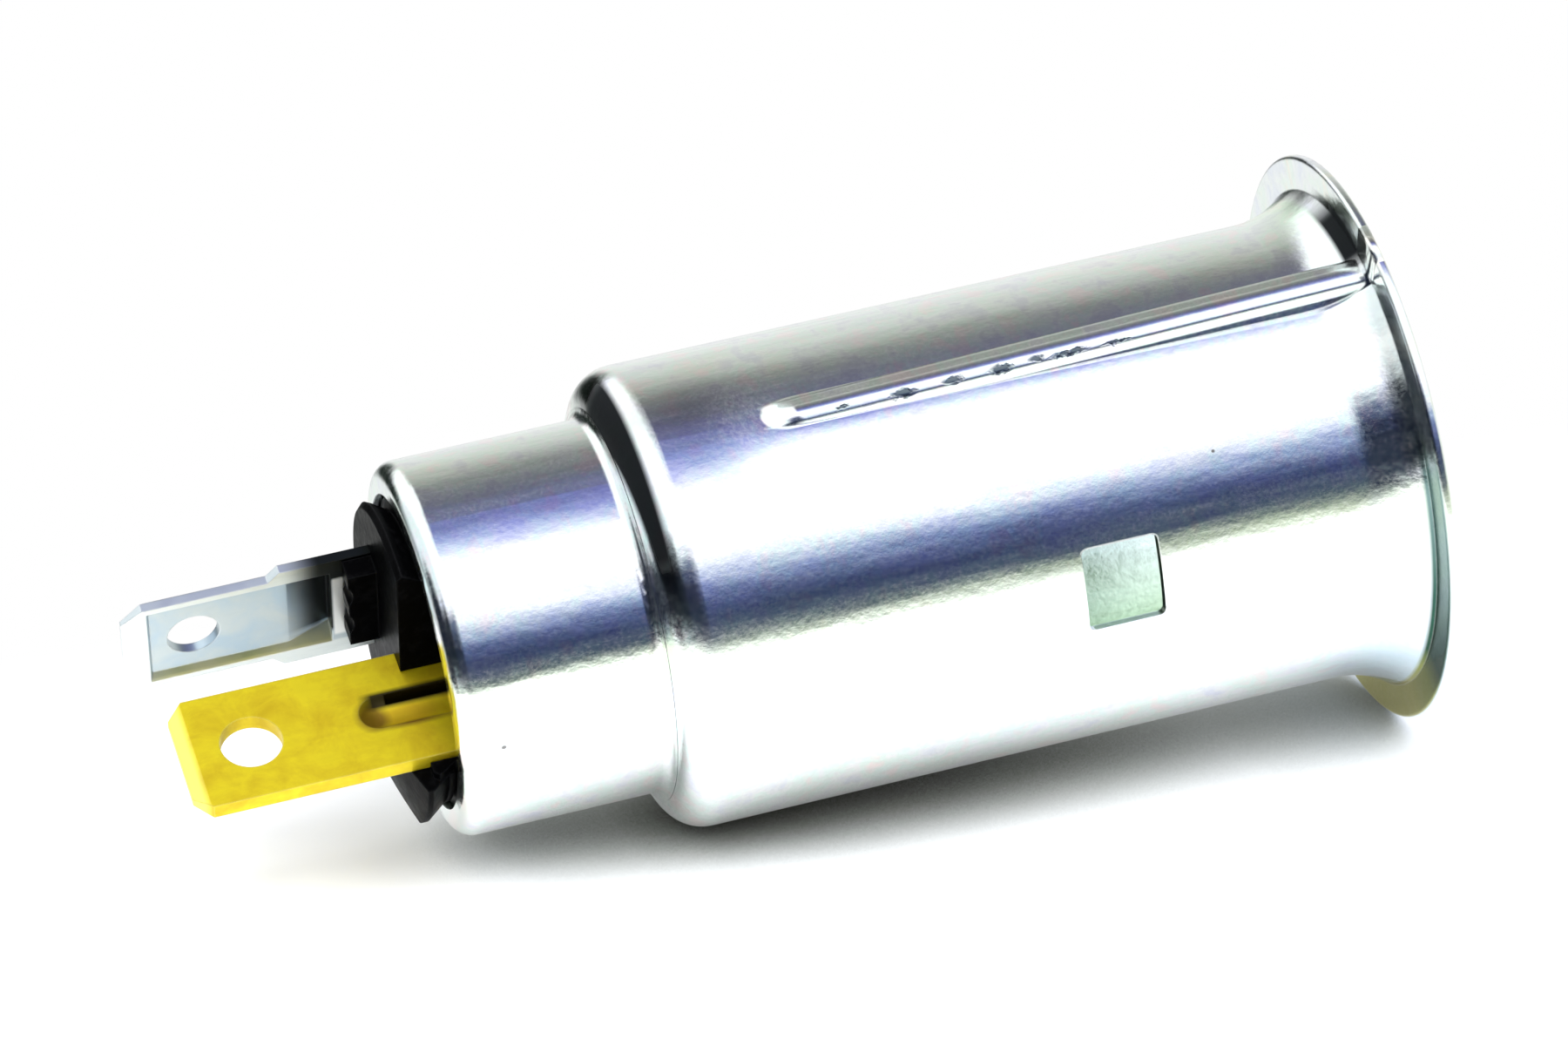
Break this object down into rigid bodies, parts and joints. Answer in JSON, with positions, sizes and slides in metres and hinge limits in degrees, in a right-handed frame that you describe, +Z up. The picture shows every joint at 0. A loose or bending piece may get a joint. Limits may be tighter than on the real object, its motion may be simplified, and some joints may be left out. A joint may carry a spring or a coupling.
{
  "type": "car 12v power socket",
  "caption": "Panel-mounted 12 V accessory socket: flanged stepped steel shell with a key rib, black rear insulator, centre contact and two flat blades at right angles.",
  "frame": {"origin": "where the socket's axis meets the back of the flange, the face that seats on the panel", "axes": "+X out of the mouth along the socket's axis, +Z up with the key rib 30 degrees from the top towards -Y"},
  "size_m": [0.0593, 0.0274, 0.0274],
  "materials": {
    "zinc_plated_steel": "bright zinc plate",
    "black_moulding": "satin moulded",
    "brass": "rolled",
    "tinned_brass": "bright tin plate",
    "hard_paper": "pressed fibre board",
    "contact_brass": "spring brass",
    "rivet_brass": "turned",
    "spring_steel": "bare spring steel"
  },
  "bodies": {
    "root": {"shell": "zinc_plated_steel", "rear_insulator": "black_moulding", "live_blade": "brass", "ground_blade": "tinned_brass", "insulating_disc": "hard_paper", "centre_contact": "contact_brass", "centre_rivet": "rivet_brass", "retaining_ring": "spring_steel"}
  },
  "joints": []
}
